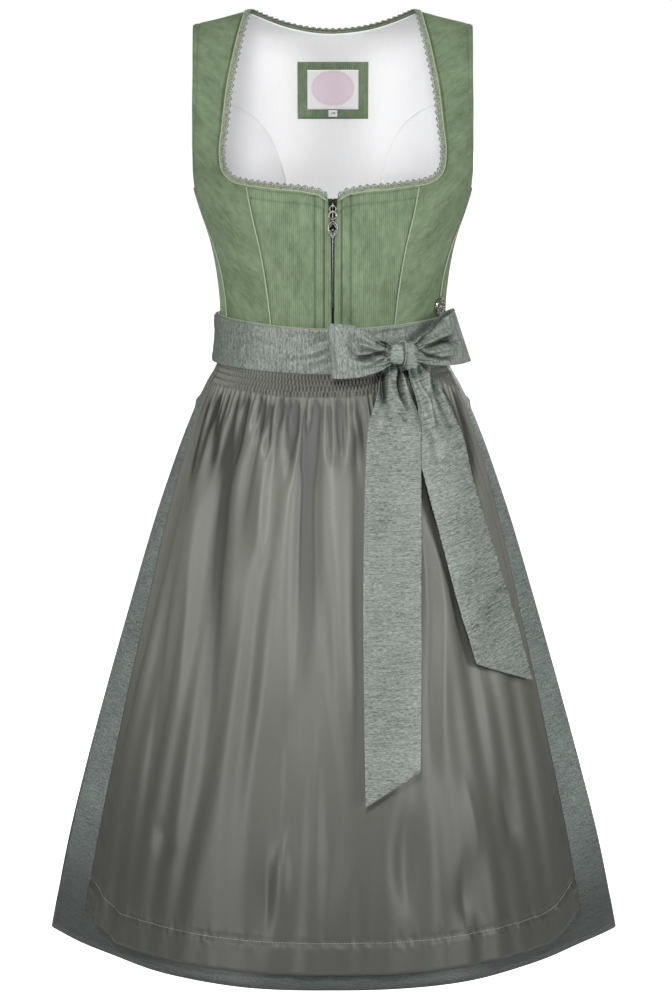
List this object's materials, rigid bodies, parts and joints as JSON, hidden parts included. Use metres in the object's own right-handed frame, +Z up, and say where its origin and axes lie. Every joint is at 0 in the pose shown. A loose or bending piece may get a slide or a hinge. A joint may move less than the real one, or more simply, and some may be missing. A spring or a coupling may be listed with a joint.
{
  "type": "dirndl dress",
  "caption": "Sleeveless dirndl dress with a zipped corduroy bodice, full skirt, gathered apron and a sash tied in a bow, hollow as if worn.",
  "frame": {"origin": "midway between the two shoulder straps, at the height where they rest on the wearer's shoulders", "axes": "+Z up the body, -Y the front, +X the right as seen from the front"},
  "size_m": [0.6428, 0.5119, 1.038],
  "materials": {
    "corduroy": "fine-wale corduroy",
    "braid": "scalloped braid",
    "lining": "plain white cotton",
    "label_cloth": "woven label",
    "zip_tape": "woven tape",
    "old_silver": "antiqued, worn",
    "slubbed_cloth": "slubbed, dull sheen",
    "ribbon_cloth": "slubbed, dull sheen",
    "satin": "satin"
  },
  "bodies": {
    "dress": {"front_placket_left": "corduroy", "front_placket_right": "corduroy", "front_centre_left": "corduroy", "front_centre_right": "corduroy", "front_side_left": "corduroy", "front_side_right": "corduroy", "back_centre": "corduroy", "back_side_left": "corduroy", "back_side_right": "corduroy", "princess_piping_left": "corduroy", "princess_piping_right": "corduroy", "side_piping_left": "corduroy", "side_piping_right": "corduroy", "waist_piping": "corduroy", "label_frame": "corduroy", "neck_trim_left": "braid", "neck_trim_right": "braid", "neck_trim_back": "braid", "lining_back": "lining", "lining_side_left": "lining", "lining_side_right": "lining", "label": "label_cloth", "size_tab": "label_cloth", "zip_tape_left": "zip_tape", "zip_tape_right": "zip_tape", "zip_chain": "old_silver", "zip_slider": "old_silver", "side_button": "old_silver", "skirt_front": "slubbed_cloth", "skirt_back": "slubbed_cloth", "sash_front": "ribbon_cloth", "sash_back": "ribbon_cloth", "bow_loop_left": "ribbon_cloth", "bow_loop_right": "ribbon_cloth", "bow_knot": "ribbon_cloth", "bow_tail_left": "ribbon_cloth", "bow_tail_right": "ribbon_cloth", "apron": "satin"},
    "zip_pull": {"zip_pull": "old_silver"},
    "zip_charm": {"zip_charm": "old_silver"}
  },
  "joints": [
    {"name": "pull_swing", "type": "hinge", "parent": "dress", "child": "zip_pull", "pos_m": [0, -0.11235, -0.2068], "axis": [-1, 0, 0], "range_deg": [0, 165]},
    {"name": "charm_swing", "type": "hinge", "parent": "zip_pull", "child": "zip_charm", "pos_m": [0, -0.11235, -0.2212], "axis": [-1, 0, 0], "range_deg": [0, 100]}
  ]
}
